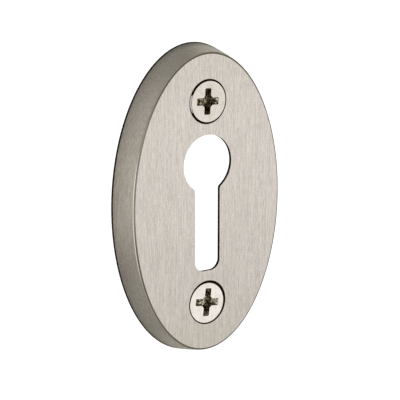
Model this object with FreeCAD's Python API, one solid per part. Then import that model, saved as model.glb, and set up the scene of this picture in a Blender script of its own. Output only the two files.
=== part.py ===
import FreeCAD, Part
import math
import os

# Oval keyhole escutcheon, held to a door or drawer front by two flat-head wood screws.
# All sizes are in millimetres. +Z is up, the face looks along -Y, and +X is to the
# right of someone who looks at the face. The origin is the middle of the plane in
# which the rim and the two screw bosses lie against the wood.

Vector = FreeCAD.Vector

# Outline: an ellipse at the face, which the wall widens on its way back to the rim.
FACE_HEIGHT = 54.0
FACE_WIDTH = 31.75
PLATE_DEPTH = 5.5
WALL_FLARE = 1.1
FACE_EDGE_RADIUS = 0.4

# Shell: the plate is hollow behind its face.
FACE_THICKNESS = 0.7
WALL_THICKNESS = 1.0
CAVITY_CORNER = 0.5

# Keyhole: a round bow opening with a parallel slot below it.
KEY_ROUND_DIAMETER = 10.4
KEY_ROUND_ABOVE_CENTRE = 7.1
KEY_SLOT_WIDTH = 5.4
KEY_SLOT_END_BELOW_CENTRE = 12.4
KEY_SLOT_CORNER_RADIUS = 1.9
KEY_NECK_RADIUS = 0.7
KEY_EDGE_BREAK = 0.06

# Screw holes: a countersink, a clearance hole and the boss that carries both.
SCREW_FROM_FACE_END = 8.75
THREAD_CLEARANCE = 0.16
SEAT_CLEARANCE = 0.02
BOSS_WALL = 1.0

# Wood screw, No. 8 by 3/4 inch, with a flat head.
SCREW_LENGTH = 19.0
THREAD_DIAMETER = 4.17
THREAD_LENGTH = 12.7
SHANK_DIAMETER = 3.6
SCREW_TIP_LENGTH = 4.4
SCREW_TIP_DIAMETER = 0.4
HEAD_DIAMETER = 7.45
HEAD_SHARP_DIAMETER = 7.95
HEAD_ANGLE = 82.0
HEAD_SINK = 0.05
HEAD_EDGE_BREAK = 0.1

# Cross recess in the head.
RECESS_SPAN = 4.7
RECESS_WING_WIDTH = 1.3
RECESS_WEB = 0.4
RECESS_DEPTH = 2.1
RECESS_WING_ANGLE = 26.5
RECESS_FLANK_ANGLE = 3.0
RECESS_PIT_DEPTH = 0.5

# Turn of each cross about its own axis, in degrees.
UPPER_SCREW_TURN = 3.0
LOWER_SCREW_TURN = 7.0

# How far a cutting tool runs past the faces that it opens.
TOOL_OVERRUN = 1.0
TOLERANCE = 0.01

HEAD_SLOPE = math.tan(math.radians(HEAD_ANGLE / 2))
SCREW_HEIGHT = FACE_HEIGHT / 2 - SCREW_FROM_FACE_END
CEILING = FACE_THICKNESS - PLATE_DEPTH


def oval_wire(y, inset):
    """Ellipse of the wall's outer surface at depth y, moved inwards by inset."""
    spread = WALL_FLARE * (1 + y / PLATE_DEPTH) - inset
    top = Vector(0, y, FACE_HEIGHT / 2 + spread)
    side = Vector(FACE_WIDTH / 2 + spread, y, 0)
    return Part.Wire([Part.Ellipse(top, side, Vector(0, y, 0)).toShape()])


def oval_block(back, front, inset):
    """Solid between two depths, bounded by the wall's surface moved inwards by inset."""
    return Part.makeLoft([oval_wire(back, inset), oval_wire(front, inset)], True, True)


def edges_at(shape, y, reach):
    """Edges that lie at one depth, within a height on either side of the middle."""
    return [
        edge for edge in shape.Edges
        if abs(edge.CenterOfMass.y - y) < TOLERANCE
        and max(abs(edge.BoundBox.ZMin), abs(edge.BoundBox.ZMax)) < reach
    ]


def hollow_shell():
    """Oval shell, rounded round its face and open at the back."""
    whole = FACE_HEIGHT + WALL_FLARE
    outside = oval_block(0, -PLATE_DEPTH, 0)
    outside = outside.makeFillet(FACE_EDGE_RADIUS, edges_at(outside, -PLATE_DEPTH, whole))
    cavity = oval_block(TOOL_OVERRUN, CEILING, WALL_THICKNESS)
    cavity = cavity.makeChamfer(CAVITY_CORNER, edges_at(cavity, CEILING, whole))
    return outside.cut(cavity)


def point(x, z):
    """Point of the keyhole's outline, in the plane of the face."""
    return Vector(x, -PLATE_DEPTH, z)


def arc(x, z, radius, start, end):
    """Arc about (x, z) from one angle to another, in degrees anticlockwise from +X."""
    angles = [math.radians(a) for a in (start, (start + end) / 2, end)]
    return Part.Arc(*[point(x + radius * math.cos(a), z + radius * math.sin(a)) for a in angles])


def keyhole_tool():
    """Prism with the keyhole's outline, long enough to pass through the face."""
    bow = KEY_ROUND_DIAMETER / 2
    side = KEY_SLOT_WIDTH / 2
    high = KEY_ROUND_ABOVE_CENTRE
    low = KEY_SLOT_CORNER_RADIUS - KEY_SLOT_END_BELOW_CENTRE
    # The neck's centre lies one neck radius outside both the round and the slot.
    neck_x = side + KEY_NECK_RADIUS
    neck_drop = math.sqrt((bow + KEY_NECK_RADIUS) ** 2 - neck_x ** 2)
    neck_z = high - neck_drop
    neck = math.degrees(math.atan2(neck_drop, neck_x))
    corner_x = side - KEY_SLOT_CORNER_RADIUS
    corner = KEY_SLOT_CORNER_RADIUS
    curves = [
        arc(0, high, bow, -neck, 180 + neck),
        arc(-neck_x, neck_z, KEY_NECK_RADIUS, neck, 0),
        Part.LineSegment(point(-side, neck_z), point(-side, low)),
        arc(-corner_x, low, corner, 180, 270),
        Part.LineSegment(point(-corner_x, low - corner), point(corner_x, low - corner)),
        arc(corner_x, low, corner, 270, 360),
        Part.LineSegment(point(side, low), point(side, neck_z)),
        arc(neck_x, neck_z, KEY_NECK_RADIUS, 180, 180 - neck),
    ]
    outline = Part.Face(Part.Wire([curve.toShape() for curve in curves]))
    outline.translate(Vector(0, -TOOL_OVERRUN, 0))
    return outline.extrude(Vector(0, FACE_THICKNESS + 2 * TOOL_OVERRUN, 0))


def turned(profile, z):
    """Solid of revolution about the screw axis at height z, from (radius, depth) corners."""
    corners = [Vector(radius, y, 0) for radius, y in profile]
    face = Part.Face(Part.makePolygon(corners + corners[:1]))
    solid = face.revolve(Vector(0, 0, 0), Vector(0, 1, 0), 360)
    solid.translate(Vector(0, 0, z))
    return solid


def seat_radius(depth):
    """Radius of the countersink at a depth below the face."""
    return HEAD_SHARP_DIAMETER / 2 + SEAT_CLEARANCE - (depth - HEAD_SINK) * HEAD_SLOPE


def boss(z):
    """Round screw boss from inside the face to the mounting plane."""
    inside_face = CEILING - FACE_THICKNESS / 2
    radius = seat_radius(FACE_THICKNESS) + BOSS_WALL
    return turned([(0, inside_face), (radius, inside_face), (radius, 0), (0, 0)], z)


def screw_hole_tool(z):
    """Countersink and clearance hole as one cutting tool."""
    hole = THREAD_DIAMETER / 2 + THREAD_CLEARANCE
    top = -PLATE_DEPTH - TOOL_OVERRUN
    mouth = seat_radius(-TOOL_OVERRUN)
    return turned([
        (0, top),
        (mouth, top),
        (hole, top + (mouth - hole) / HEAD_SLOPE),
        (hole, TOOL_OVERRUN),
        (0, TOOL_OVERRUN),
    ], z)


def escutcheon_plate():
    """Hollow oval shell with its keyhole, two countersinks and their bosses."""
    heights = (SCREW_HEIGHT, -SCREW_HEIGHT)
    shell = hollow_shell().fuse([boss(z) for z in heights])
    shell = shell.cut([keyhole_tool()] + [screw_hole_tool(z) for z in heights])
    shell = shell.removeSplitter()
    reach = KEY_SLOT_END_BELOW_CENTRE + TOLERANCE
    return shell.makeChamfer(KEY_EDGE_BREAK, edges_at(shell, -PLATE_DEPTH, reach)).Solids[0]


def cross_wire(depth):
    """Outline of the cross recess at a depth below the top of the head."""
    span = RECESS_SPAN / 2 - depth * math.tan(math.radians(RECESS_WING_ANGLE))
    side = RECESS_WING_WIDTH / 2 - depth * math.tan(math.radians(RECESS_FLANK_ANGLE))
    corners = []
    for quarter in range(4):
        turn = FreeCAD.Rotation(Vector(0, 1, 0), 90 * quarter)
        for x, z in ((span, side), (side + RECESS_WEB, side), (side, side + RECESS_WEB), (side, span)):
            corners.append(turn.multVec(Vector(x, depth, -z)))
    return Part.makePolygon(corners + corners[:1])


def recess_tool():
    """Cross recess with sloping wing ends and a pointed pit, its mouth at y = 0."""
    wings = Part.makeLoft([cross_wire(-TOOL_OVERRUN), cross_wire(RECESS_DEPTH)], True, True)
    pit_radius = RECESS_WING_WIDTH / 2
    pit = Part.makeCone(pit_radius, 0, RECESS_PIT_DEPTH, Vector(0, RECESS_DEPTH, 0), Vector(0, 1, 0))
    return wings.fuse(pit)


def wood_screw(z, turn):
    """Flat-head screw seated in its countersink, its thread as a plain outer cylinder."""
    top = HEAD_SINK - PLATE_DEPTH
    end = top + SCREW_LENGTH
    head = HEAD_DIAMETER / 2
    shank = SHANK_DIAMETER / 2
    thread = THREAD_DIAMETER / 2
    land = top + (HEAD_SHARP_DIAMETER / 2 - head) / HEAD_SLOPE
    screw = turned([
        (0, top),
        (head - HEAD_EDGE_BREAK, top),
        (head, top + HEAD_EDGE_BREAK),
        (head, land),
        (shank, land + (head - shank) / HEAD_SLOPE),
        (shank, end - THREAD_LENGTH),
        (thread, end - THREAD_LENGTH),
        (thread, end - SCREW_TIP_LENGTH),
        (SCREW_TIP_DIAMETER / 2, end),
        (0, end),
    ], 0)
    recess = recess_tool()
    recess.translate(Vector(0, top, 0))
    screw = screw.cut(recess)
    screw.rotate(Vector(0, 0, 0), Vector(0, 1, 0), turn)
    screw.translate(Vector(0, 0, z))
    return screw.Solids[0]


os.makedirs("parts", exist_ok=True)
nodes = {
    "escutcheon_plate": escutcheon_plate(),
    "upper_screw": wood_screw(SCREW_HEIGHT, UPPER_SCREW_TURN),
    "lower_screw": wood_screw(-SCREW_HEIGHT, LOWER_SCREW_TURN),
}
for name, shape in nodes.items():
    shape.exportStep(f"parts/{name}.step")
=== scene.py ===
import logging
import math
from dataclasses import dataclass, field
from enum import Enum, IntEnum
from typing import Sequence, TypeAlias

import bpy
import numpy as np
import numpy.typing as npt
from mathutils import Matrix, Vector
from mathutils.geometry import delaunay_2d_cdt


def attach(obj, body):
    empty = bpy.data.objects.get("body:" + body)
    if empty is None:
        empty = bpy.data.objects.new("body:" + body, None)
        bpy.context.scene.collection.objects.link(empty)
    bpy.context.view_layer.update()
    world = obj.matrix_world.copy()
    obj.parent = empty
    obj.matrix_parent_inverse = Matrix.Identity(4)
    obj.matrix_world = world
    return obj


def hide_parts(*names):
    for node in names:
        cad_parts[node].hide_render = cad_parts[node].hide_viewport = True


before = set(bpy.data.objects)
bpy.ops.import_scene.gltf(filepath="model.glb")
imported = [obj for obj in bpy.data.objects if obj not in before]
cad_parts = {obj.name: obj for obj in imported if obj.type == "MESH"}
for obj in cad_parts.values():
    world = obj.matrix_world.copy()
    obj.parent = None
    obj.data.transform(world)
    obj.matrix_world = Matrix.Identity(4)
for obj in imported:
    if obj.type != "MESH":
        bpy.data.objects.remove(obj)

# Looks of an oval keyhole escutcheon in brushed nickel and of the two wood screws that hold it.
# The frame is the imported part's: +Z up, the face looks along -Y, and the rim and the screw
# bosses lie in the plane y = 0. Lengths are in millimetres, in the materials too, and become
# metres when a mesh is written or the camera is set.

Array: TypeAlias = npt.NDArray[np.float64]
Indices: TypeAlias = npt.NDArray[np.int64]
Pair: TypeAlias = tuple[float | Array, float | Array]
Triple: TypeAlias = tuple[float, float, float]
Colour: TypeAlias = tuple[float, float, float]
Limits: TypeAlias = tuple[float, float]
Shares: TypeAlias = tuple[float, ...]
Spot: TypeAlias = tuple[float, float]
Number: TypeAlias = "Signal | float"
Settings: TypeAlias = dict[str, str]
Values: TypeAlias = "dict[str | int, Signal | float | Sequence[float]]"

MM = 0.001
log = logging.getLogger("escutcheon")


# Shared sizes


@dataclass(frozen=True)
class ScrewSeat:
    """Sizes that the plate's countersinks share with the screws in them.

    The face stands as far before the mounting plane as the plate is deep, and each screw's axis
    lies as high above or below the middle as the height says. The sharp head is where the cone
    of the head would meet the head's top, and the sink is how far that lies below the face.
    """

    plate_depth: float = 5.5
    height: float = 18.25
    sharp_head: float = 7.95
    angle: float = 82.0
    sink: float = 0.05
    clearance: float = 0.02
    thread: float = 4.17
    thread_clearance: float = 0.16

    @property
    def slope(self) -> float:
        """How much the cone's radius shrinks along its axis: the tangent of half its angle."""
        return math.tan(math.radians(self.angle / 2))

    @property
    def hole(self) -> float:
        """Radius of the clearance hole."""
        return self.thread / 2 + self.thread_clearance

    def radius(self, depth: float) -> float:
        """Radius of the countersink at a depth below the face."""
        return self.sharp_head / 2 + self.clearance - (depth - self.sink) * self.slope


# Surfaces


class Side(Enum):
    """Which way a profile's surface looks, seen along its run."""

    LEFT = 1.0
    RIGHT = -1.0


class Looks(Enum):
    """Whether a flat surface looks along -Y, to the front, or along +Y, to the back."""

    FRONT = -1.0
    BACK = 1.0


@dataclass(frozen=True)
class Span:
    """Smooth part of a profile: offsets from a path, depths along +Y, and the unit normals there.

    Each array has one row per point of the profile and one column per point of the path, or a
    single column where the profile is the same all the way round.
    """

    offset: Array
    depth: Array
    normal_out: Array
    normal_depth: Array

    @staticmethod
    def line(start: Pair, end: Pair, rows: int, side: Side) -> "Span":
        """Straight run: start + s * (end - start), its normal square to it.

        Args:
            start: offset and depth of its first point, as numbers or arrays along the path.
            end: the same for its last point.
            rows: how many points it gets.
            side: on which side of the run the surface looks.

        Returns:
            The run as a span.
        """
        offset0, depth0, offset1, depth1 = (np.atleast_1d(v).astype(float) for v in (*start, *end))
        rise, fall = offset1 - offset0, depth1 - depth0
        run = np.hypot(rise, fall)
        s = np.linspace(0, 1, rows)[:, None]
        offset = offset0 + s * rise
        depth = depth0 + s * fall
        out = -fall / run * side.value
        down = rise / run * side.value
        offset, depth, out, down = np.broadcast_arrays(offset, depth, out, down)
        return Span(offset, depth, out, down)

    def crowned(self, rise: float) -> "Span":
        """The same run with a crown: moved along its normal by 4 h s (1 - s).

        Args:
            rise: the crown's height h in the middle of the run.

        Returns:
            The crowned span, its normals turned by the crown's slope 4 h (1 - 2 s) over its length.
        """
        s = np.linspace(0, 1, len(self.offset))[:, None]
        run_out, run_depth = self.offset[-1] - self.offset[0], self.depth[-1] - self.depth[0]
        length = np.hypot(run_out, run_depth)
        lift = 4 * rise * s * (1 - s)
        slope = 4 * rise * (1 - 2 * s) / length
        out = self.normal_out - slope * run_out / length
        down = self.normal_depth - slope * run_depth / length
        size = np.hypot(out, down)
        return Span(self.offset + lift * self.normal_out, self.depth + lift * self.normal_depth,
                    out / size, down / size)

    @staticmethod
    def arc(centre: Pair, radius: float, start: Array | float, end: Array | float, rows: int,
            hollow: bool = False) -> "Span":
        """Arc: centre + radius * (cos a, sin a) while a goes from start to end.

        Args:
            centre: offset and depth of the centre, as numbers or arrays along the path.
            radius: radius in millimetres.
            start: first angle in radians, from the outward direction towards +Y.
            end: last angle in radians.
            rows: how many points it gets.
            hollow: True where the surface looks towards the centre.

        Returns:
            The arc as a span.
        """
        a0, a1, o, d = (np.atleast_1d(v).astype(float) for v in (start, end, *centre))
        angle = a0 + np.linspace(0, 1, rows)[:, None] * (a1 - a0)
        sign = -1.0 if hollow else 1.0
        return Span(o + radius * np.cos(angle), d + radius * np.sin(angle),
                    sign * np.cos(angle), sign * np.sin(angle))


@dataclass(frozen=True)
class Path:
    """Closed path in a plane of constant y: its points and its outward unit normals, as x and z."""

    points: Array
    normals: Array

    def moved(self, offset: Array | float) -> Array:
        """Points p + n * offset of the path."""
        return self.points + self.normals * np.atleast_1d(offset)[:, None]

    @staticmethod
    def circle(x: float, z: float, count: int) -> "Path":
        """Path of radius zero about (x, z), so that an offset along it is a radius.

        Args:
            x: x of the middle.
            z: z of the middle.
            count: how many points it gets.

        Returns:
            The path.
        """
        angle = np.arange(count) * (2 * math.pi / count)
        normals = np.stack([np.cos(angle), np.sin(angle)], axis=-1)
        return Path(np.tile([x, z], (count, 1)).astype(float), normals)

    @staticmethod
    def oval(half_width: float, half_height: float, count: int) -> "Path":
        """Ellipse (w cos t, h sin t), with the normal (cos t / w, sin t / h) made unit.

        Args:
            half_width: half axis w along x.
            half_height: half axis h along z.
            count: how many points it gets.

        Returns:
            The path.
        """
        t = np.arange(count) * (2 * math.pi / count)
        points = np.stack([half_width * np.cos(t), half_height * np.sin(t)], axis=-1)
        normals = np.stack([np.cos(t) / half_width, np.sin(t) / half_height], axis=-1)
        return Path(points, normals / np.linalg.norm(normals, axis=-1, keepdims=True))


@dataclass
class Skin:
    """Patches of surface that are sewn into one closed mesh, each corner with its true normal.

    Points that round to the same multiple of the sewing distance become one. A filled region has
    points of its own that keep a share of their spacing, the margin, from its outlines.
    """

    points: list[Array] = field(default_factory=list)
    normals: list[Array] = field(default_factory=list)
    faces: list[Indices] = field(default_factory=list)
    finishes: list[Indices] = field(default_factory=list)
    count: int = 0
    sewing: float = 0.0001
    fill_margin: float = 0.6
    fill_precision: float = 1e-7

    def patch(self, points: Array, normals: Array, faces: Indices, finish: int) -> None:
        """Adds faces, turned so that each one looks the way that its normals do.

        Args:
            points: points in millimetres, one row each.
            normals: unit normals of the same points.
            faces: three or four point numbers a row.
            finish: number of the material that it takes.
        """
        across = points[faces[:, 2]] - points[faces[:, 0]]
        along = points[faces[:, -1]] - points[faces[:, 1]]
        looks = np.einsum("ij,ij->i", np.cross(across, along), normals[faces].mean(axis=1))
        faces = np.where((looks < 0)[:, None], faces[:, ::-1], faces)
        self.points.append(points)
        self.normals.append(normals)
        self.faces.append(faces + self.count)
        self.finishes.append(np.full(len(faces), finish))
        self.count += len(points)

    def grid(self, points: Array, normals: Array, finish: int) -> None:
        """Adds a grid of rows by columns that closes on itself along its columns.

        Args:
            points: rows x columns x 3 array of points.
            normals: unit normals of the same shape.
            finish: number of the material that it takes.
        """
        rows, columns = points.shape[:2]
        number = np.arange(rows * columns).reshape(rows, columns)
        after = np.roll(number, -1, axis=1)
        faces = np.stack([number[:-1], number[1:], after[1:], after[:-1]], axis=-1)
        self.patch(points.reshape(-1, 3), normals.reshape(-1, 3), faces.reshape(-1, 4), finish)

    def sweep(self, path: Path, spans: Sequence[Span], finish: int) -> None:
        """Carries a profile along a path: (p + n * offset, depth), its normal (n * out, down).

        Args:
            path: the path.
            spans: the profile's spans, in order.
            finish: number of the material that they take.
        """
        for span in spans:
            shape = np.broadcast_shapes(span.offset.shape, (1, len(path.points)))
            offset, depth, out, down = (np.broadcast_to(v, shape) for v in (
                span.offset, span.depth, span.normal_out, span.normal_depth))
            flat = path.points + path.normals * offset[..., None]
            points = np.stack([flat[..., 0], depth, flat[..., 1]], axis=-1)
            turned = path.normals * out[..., None]
            normals = np.stack([turned[..., 0], down, turned[..., 1]], axis=-1)
            self.grid(points, normals, finish)

    def fill(self, outline: Array, holes: Sequence[Array], depth: float, looks: Looks,
             finish: int, spacing: float) -> None:
        """Fills a flat region between its outline and its holes with well-shaped triangles.

        Args:
            outline: x and z of the outline's points.
            holes: the same for each hole.
            depth: y of the plane.
            looks: which way the region looks.
            finish: number of the material that it takes.
            spacing: distance between the points that are laid inside the region.
        """
        loops = [outline, *holes]
        low, high = outline.min(axis=0), outline.max(axis=0)
        columns = np.arange(low[0], high[0], spacing)
        rows = np.arange(low[1], high[1], spacing * math.sqrt(3) / 2)
        x, z = np.meshgrid(columns, rows)
        x = x + (np.arange(len(rows)) % 2)[:, None] * spacing / 2
        inside = np.stack([x.ravel(), z.ravel()], axis=-1)
        clear = between(inside, outline, holes)
        for loop in loops:
            gap = np.linalg.norm(inside[:, None] - loop[None], axis=-1).min(axis=1)
            clear &= gap > spacing * self.fill_margin
        flat = np.concatenate([*loops, inside[clear]])
        sizes = [len(loop) for loop in loops]
        edges = np.concatenate([
            np.stack([np.arange(size), np.roll(np.arange(size), -1)], axis=-1) + start
            for size, start in zip(sizes, np.cumsum([0, *sizes]))
        ])
        triangles, origins = delaunay_2d_cdt(flat, edges.tolist(), [], 0, self.fill_precision)[2:4]
        faces = np.array(origins)[:, 0][np.array(triangles)]
        kept = between(flat[faces].mean(axis=1), outline, holes)
        points = np.insert(flat, 1, depth, axis=1)
        normals = np.tile([0.0, looks.value, 0.0], (len(points), 1))
        self.patch(points, normals, faces[kept], finish)

    def fan(self, ring: Array, tip: Array, normal: Array, finish: int) -> None:
        """Closes a ring with triangles that meet in one point.

        Args:
            ring: the ring's points.
            tip: the point in which they meet.
            normal: the unit normal of the ring's points and the tip.
            finish: number of the material that it takes.
        """
        number = np.arange(len(ring))
        faces = np.stack([number, np.roll(number, -1), np.full(len(ring), len(ring))], axis=-1)
        points = np.concatenate([ring, tip[None]])
        self.patch(points, np.tile(normal, (len(points), 1)), faces, finish)

    def piece(self, name: str, materials: Sequence[bpy.types.Material]) -> bpy.types.Object:
        """Sews the patches where their points meet and makes the object.

        Args:
            name: name of the piece.
            materials: its materials, in the order of their numbers.

        Returns:
            The object, at the origin, with its place in its mesh.
        """
        points = np.concatenate(self.points)
        keys = np.round(points / self.sewing).astype(np.int64)
        _, first, number = np.unique(keys, axis=0, return_index=True, return_inverse=True)
        number = number.reshape(-1)
        corners = np.concatenate([faces.reshape(-1) for faces in self.faces])
        sizes = np.concatenate([np.full(len(faces), faces.shape[1]) for faces in self.faces])
        mesh = bpy.data.meshes.new(name)
        mesh.vertices.add(len(first))
        mesh.vertices.foreach_set("co", (points[first] * MM).astype(np.float32).ravel())
        mesh.loops.add(len(corners))
        mesh.loops.foreach_set("vertex_index", number[corners].astype(np.int32))
        mesh.polygons.add(len(sizes))
        starts = np.concatenate([[0], np.cumsum(sizes)[:-1]])
        mesh.polygons.foreach_set("loop_start", starts.astype(np.int32))
        mesh.polygons.foreach_set("material_index", np.concatenate(self.finishes).astype(np.int32))
        mesh.polygons.foreach_set("use_smooth", np.ones(len(sizes), dtype=bool))
        mesh.update(calc_edges=True)
        mesh.validate()
        mesh.normals_split_custom_set(np.concatenate(self.normals)[corners].tolist())
        for material in materials:
            mesh.materials.append(material)
        made = bpy.data.objects.new(name, mesh)
        bpy.context.scene.collection.objects.link(made)
        return made


def within(points: Array, loop: Array) -> npt.NDArray[np.bool_]:
    """Tells which points lie inside a closed loop, by how often a ray to +x crosses it.

    Args:
        points: x and z of each point.
        loop: x and z of the loop's points.

    Returns:
        True for each point inside.
    """
    start, end = loop, np.roll(loop, -1, axis=0)
    x, z = points[:, 0, None], points[:, 1, None]
    spans = (start[:, 1] > z) != (end[:, 1] > z)
    rise = np.where(end[:, 1] == start[:, 1], 1.0, end[:, 1] - start[:, 1])
    cross = start[:, 0] + (z - start[:, 1]) / rise * (end[:, 0] - start[:, 0])
    return (np.sum(spans & (cross > x), axis=1) % 2).astype(bool)


def between(points: Array, outline: Array, holes: Sequence[Array]) -> npt.NDArray[np.bool_]:
    """Tells which points lie inside an outline and in none of its holes.

    Args:
        points: x and z of each point.
        outline: x and z of the outline's points.
        holes: the same for each hole.

    Returns:
        True for each point between them.
    """
    inside = within(points, outline)
    for hole in holes:
        inside &= ~within(points, hole)
    return inside


def grid_normals(points: Array) -> Array:
    """Unit normals of a grid that closes along its columns: the cross product of its two slopes.

    Args:
        points: rows x columns x 3 array.

    Returns:
        Unit normals of the same shape.
    """
    along = np.gradient(points, axis=0, edge_order=2)
    around = np.roll(points, -1, axis=1) - np.roll(points, 1, axis=1)
    normals = np.cross(along, around)
    return normals / np.linalg.norm(normals, axis=-1, keepdims=True)


# Shading


class Blend(Enum):
    """How a second colour is laid over a first."""

    MIX = "MIX"
    MULTIPLY = "MULTIPLY"


@dataclass(frozen=True)
class Lumps:
    """Noise whose lumps fill a cell of x by y by z millimetres, with finer layers added."""

    cell: Triple
    detail: float = 2.0
    roughness: float = 0.5


@dataclass(frozen=True)
class Signal:
    """One output socket. Arithmetic on it adds Math nodes to its tree."""

    shading: "Shading"
    socket: bpy.types.NodeSocket

    def __add__(self, other: Number) -> "Signal":
        """Sum of the two values."""
        return self.shading.maths("ADD", self, other)

    def __radd__(self, other: Number) -> "Signal":
        """Sum of the two values."""
        return self.shading.maths("ADD", other, self)

    def __sub__(self, other: Number) -> "Signal":
        """Difference of the two values."""
        return self.shading.maths("SUBTRACT", self, other)

    def __rsub__(self, other: Number) -> "Signal":
        """Difference of the two values, the other way round."""
        return self.shading.maths("SUBTRACT", other, self)

    def __mul__(self, other: Number) -> "Signal":
        """Product of the two values."""
        return self.shading.maths("MULTIPLY", self, other)

    def __rmul__(self, other: Number) -> "Signal":
        """Product of the two values."""
        return self.shading.maths("MULTIPLY", other, self)

    def __truediv__(self, other: Number) -> "Signal":
        """Quotient of the two values."""
        return self.shading.maths("DIVIDE", self, other)

    def __pow__(self, other: Number) -> "Signal":
        """This value to a power."""
        return self.shading.maths("POWER", self, other)

    def most(self, other: Number) -> "Signal":
        """The larger of the two values."""
        return self.shading.maths("MAXIMUM", self, other)

    def size(self) -> "Signal":
        """The value without its sign."""
        return self.most(self * -1.0)

    def spread(self, amount: float) -> "Signal":
        """A value from 0 to 1 as one from -amount / 2 to amount / 2."""
        return (self - 0.5) * amount

    def ramp(self, low: float, high: float) -> "Signal":
        """0 below low and 1 above high, with a smooth step between them."""
        node = self.shading.node("ShaderNodeMapRange", {"interpolation_type": "SMOOTHSTEP"},
                                 {"Value": self, "From Min": low, "From Max": high})
        return Signal(self.shading, node.outputs["Result"])


def weighted(signals: Sequence[Signal], shares: Sequence[float]) -> Signal:
    """Sum of signals, each times its share.

    Args:
        signals: the signals.
        shares: a number for each.

    Returns:
        The sum.
    """
    total = signals[0] * shares[0]
    for signal, share in zip(signals[1:], shares[1:]):
        total = total + signal * share
    return total


class Shading:
    """A node tree that is written as Python expressions."""

    def __init__(self, tree: bpy.types.NodeTree) -> None:
        """Empties the tree."""
        self.tree = tree
        tree.nodes.clear()

    def node(self, kind: str, settings: Settings, values: Values) -> bpy.types.Node:
        """Adds one node.

        Args:
            kind: type of the node.
            settings: its settings by name, which are set first.
            values: its inputs by name or number, each a signal or a plain value.

        Returns:
            The node.
        """
        made = self.tree.nodes.new(kind)
        for name, value in settings.items():
            setattr(made, name, value)
        for name, value in values.items():
            if isinstance(value, Signal):
                self.tree.links.new(value.socket, made.inputs[name])
            else:
                made.inputs[name].default_value = value
        return made

    def signal(self, kind: str, output: str | int, settings: Settings, values: Values) -> Signal:
        """Adds one node and gives one of its outputs."""
        return Signal(self, self.node(kind, settings, values).outputs[output])

    def maths(self, operation: str, first: Number, second: Number) -> Signal:
        """Adds one Math node."""
        return self.signal("ShaderNodeMath", 0, {"operation": operation}, {0: first, 1: second})

    def scaled(self, vector: Signal, scale: Sequence[float]) -> Signal:
        """A vector whose x, y and z are multiplied by one number each."""
        return self.signal("ShaderNodeVectorMath", 0, {"operation": "MULTIPLY"}, {0: vector, 1: scale})

    def coordinates(self) -> Signal:
        """Object coordinates in millimetres."""
        return self.scaled(self.signal("ShaderNodeTexCoord", "Object", {}, {}), [1 / MM] * 3)

    def facing(self, way: Triple) -> Signal:
        """How far the surface's normal points along a unit vector."""
        normal = self.signal("ShaderNodeTexCoord", "Normal", {}, {})
        return self.signal("ShaderNodeVectorMath", "Value", {"operation": "DOT_PRODUCT"},
                           {0: normal, 1: way})

    def axes(self, vector: Signal) -> tuple[Signal, Signal, Signal]:
        """The x, y and z values of a vector."""
        node = self.node("ShaderNodeSeparateXYZ", {}, {0: vector})
        return tuple(Signal(self, node.outputs[i]) for i in range(3))

    def from_screw(self, place: Signal, height: float) -> Signal:
        """Distance from the nearer screw's axis: sqrt(x x + (|z| - height)^2).

        Args:
            place: the coordinates.
            height: how far each axis lies above or below the middle.

        Returns:
            The distance.
        """
        x, _, z = self.axes(place)
        off = z.size() - height
        return (x * x + off * off) ** 0.5

    def noise(self, place: Signal, lumps: Lumps) -> Signal:
        """Noise from 0 to 1.

        Args:
            place: the coordinates.
            lumps: size of its lumps, how many finer layers it has, and how strong they are.

        Returns:
            The noise.
        """
        return self.signal("ShaderNodeTexNoise", "Fac", {"noise_dimensions": "3D"}, {
            "Vector": self.scaled(place, [1 / side for side in lumps.cell]), "Scale": 1.0,
            "Detail": lumps.detail, "Roughness": lumps.roughness})

    def mixed(self, factor: Number, first: Colour | Signal, second: Colour | Signal,
              blend: Blend = Blend.MIX) -> Signal:
        """Mixes two colours.

        Args:
            factor: 0 for the first colour, 1 for the second.
            first: the first colour.
            second: the second colour.
            blend: how the second colour is laid over the first.

        Returns:
            The mixed colour.
        """
        first, second = (v if isinstance(v, Signal) else (*v, 1.0) for v in (first, second))
        return self.signal("ShaderNodeMix", 2, {"data_type": "RGBA", "blend_type": blend.value},
                           {0: factor, 6: first, 7: second})

    def product(self, first: Signal, second: Signal) -> Signal:
        """Product of two colours."""
        return self.mixed(1.0, first, second, Blend.MULTIPLY)

    def bump(self, height: Signal, strength: float, distance: float) -> Signal:
        """Normal that follows a height.

        Args:
            height: the height, from 0 to 1.
            strength: how much of it counts.
            distance: the length that a height of 1 stands for.

        Returns:
            The normal.
        """
        return self.signal("ShaderNodeBump", 0, {}, {
            "Strength": strength, "Distance": distance * MM, "Height": height})

    def surface(self, shader: Signal) -> None:
        """Ends a material's tree in a shader."""
        self.node("ShaderNodeOutputMaterial", {}, {"Surface": shader})


@dataclass(frozen=True)
class Finish:
    """A named finish of a surface."""

    name: str

    def build(self, shading: Shading) -> None:
        """Writes the finish's nodes."""
        raise NotImplementedError

    def material(self) -> bpy.types.Material:
        """Makes the material.

        Returns:
            The material.
        """
        made = bpy.data.materials.new(self.name)
        made.use_nodes = True
        self.build(Shading(made.node_tree))
        return made


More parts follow.
